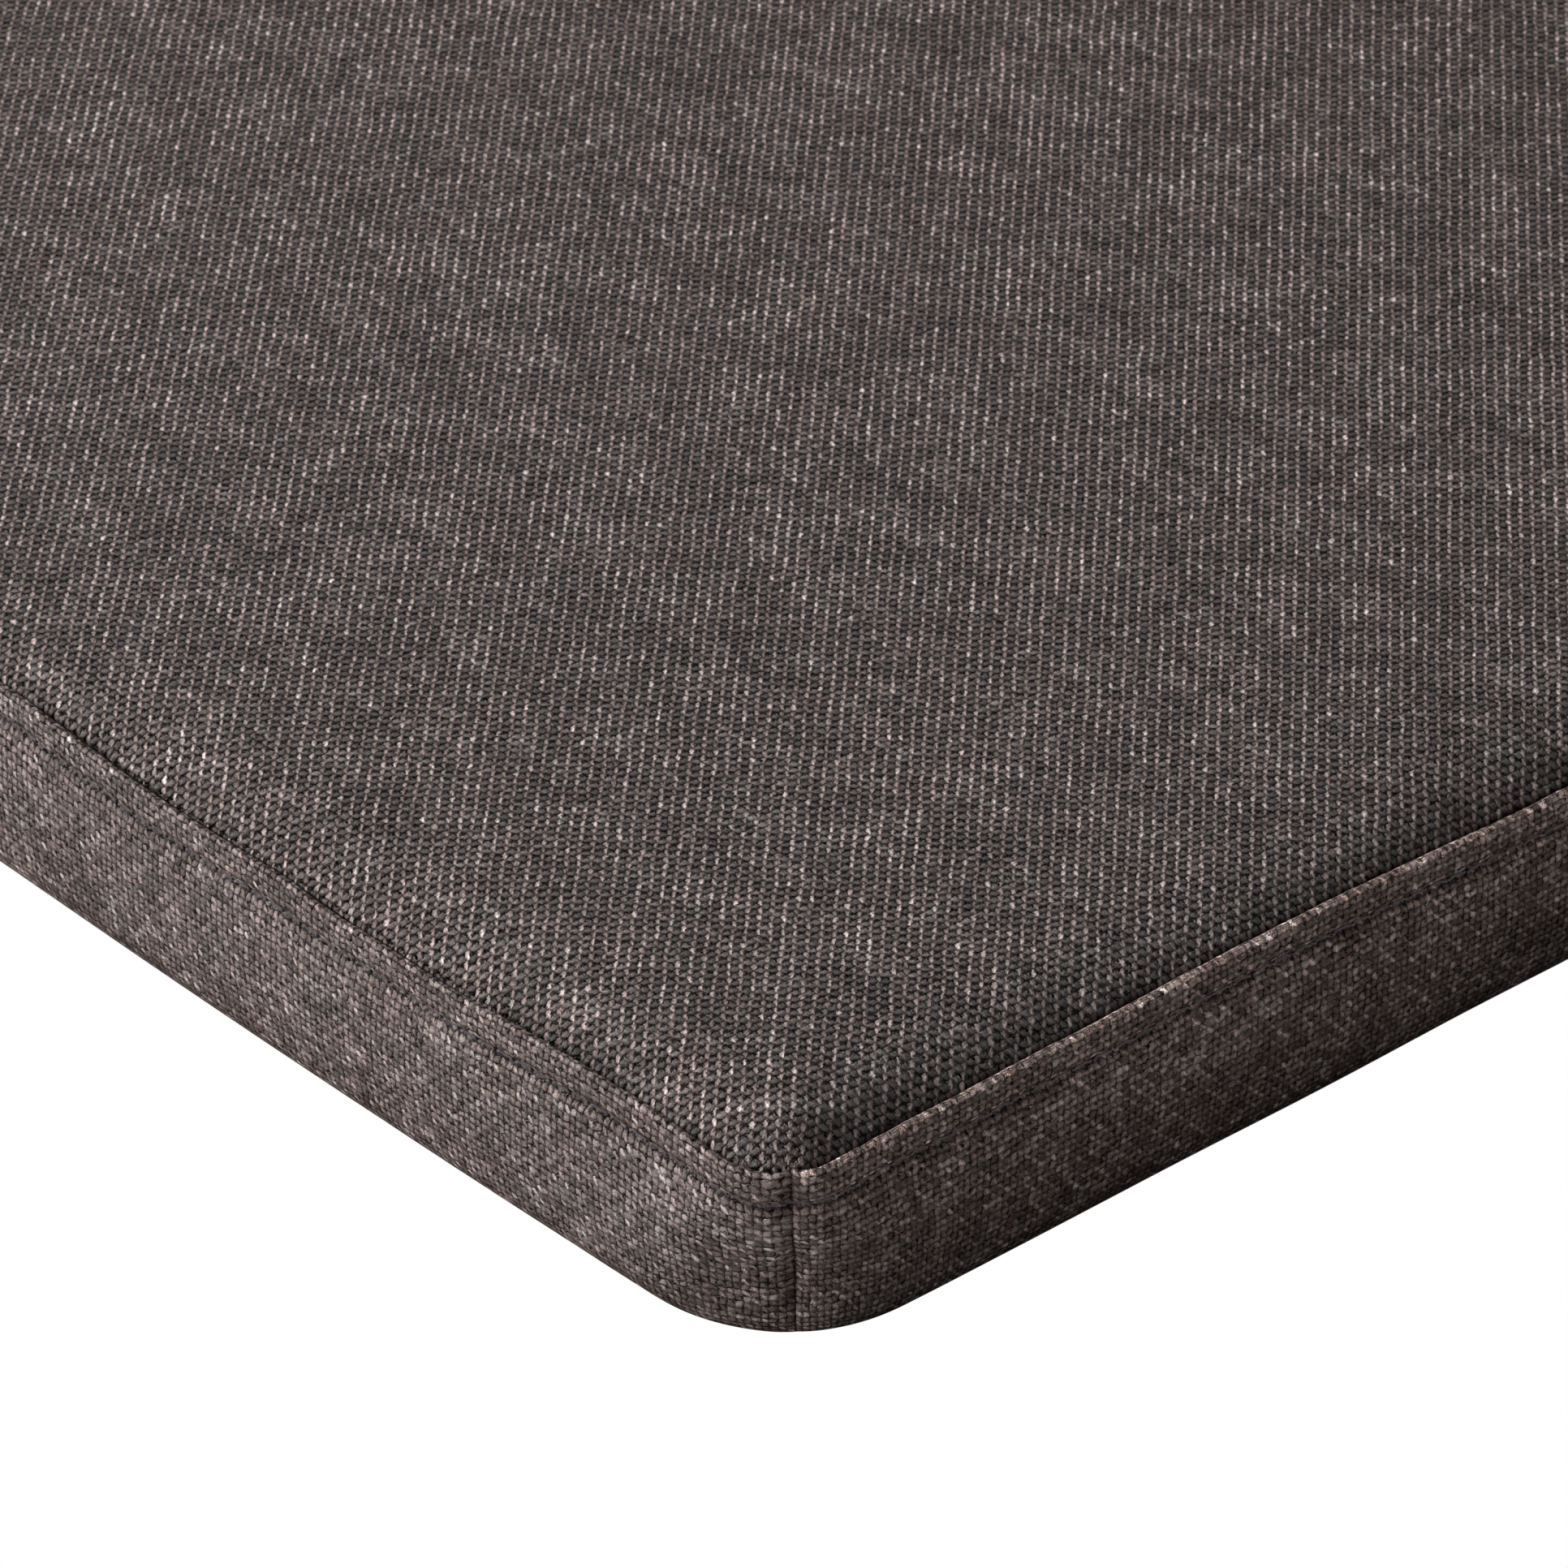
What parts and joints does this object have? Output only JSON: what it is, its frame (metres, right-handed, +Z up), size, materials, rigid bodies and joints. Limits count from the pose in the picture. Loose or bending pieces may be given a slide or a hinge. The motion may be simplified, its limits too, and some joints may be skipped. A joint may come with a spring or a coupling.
{
  "type": "kneeling pad",
  "caption": "Flat rectangular kneeling pad: layered foam in a heathered plain-weave cover with stitched-down top seams and a zip along one side.",
  "frame": {"origin": "centre of the flat underside, on the floor", "axes": "+Z up, through the thickness; X along the length; +Y towards the side wall that holds the zip, so -Y is the plain front long side"},
  "size_m": [0.45, 0.3036, 0.03],
  "materials": {
    "cover_cloth": "matte",
    "base_cloth": "matte",
    "firm_foam": "matte",
    "soft_foam": "matte",
    "wadding": "matte",
    "thread": "satin",
    "zip_tape": "matte",
    "zip_coil": "satin",
    "zip_metal": "satin"
  },
  "bodies": {
    "pad": {"top_panel": "cover_cloth", "boxing_front": "cover_cloth", "boxing_right": "cover_cloth", "boxing_left": "cover_cloth", "boxing_back_upper": "cover_cloth", "boxing_back_lower": "cover_cloth", "zip_end_tab_right": "cover_cloth", "zip_end_tab_left": "cover_cloth", "base_panel": "base_cloth", "foam_base_layer": "firm_foam", "foam_comfort_layer": "soft_foam", "wadding_sheet": "wadding", "topstitch_thread": "thread", "top_seam_thread": "thread", "base_seam_thread": "thread", "corner_seam_thread_front_right": "thread", "corner_seam_thread_front_left": "thread", "corner_seam_thread_back_right": "thread", "corner_seam_thread_back_left": "thread", "zip_stitch_upper": "thread", "zip_stitch_lower": "thread", "zip_tape_upper": "zip_tape", "zip_tape_lower": "zip_tape", "zip_coil_upper": "zip_coil", "zip_coil_lower": "zip_coil", "zip_top_stop_upper": "zip_metal", "zip_top_stop_lower": "zip_metal", "zip_bottom_stop": "zip_metal"},
    "zip_slider": {"zip_slider_body": "zip_metal"},
    "zip_pull": {"zip_pull_tab": "zip_metal"}
  },
  "joints": [
    {"name": "zip_slide", "type": "slide", "parent": "pad", "child": "zip_slider", "axis": [-1, 0, 0], "range_m": [0, 0.366]},
    {"name": "pull_tab_swing", "type": "hinge", "parent": "zip_slider", "child": "zip_pull", "pos_m": [0.1865, 0.15183, 0.016], "axis": [0, 0, -1], "range_deg": [0, 180]}
  ]
}
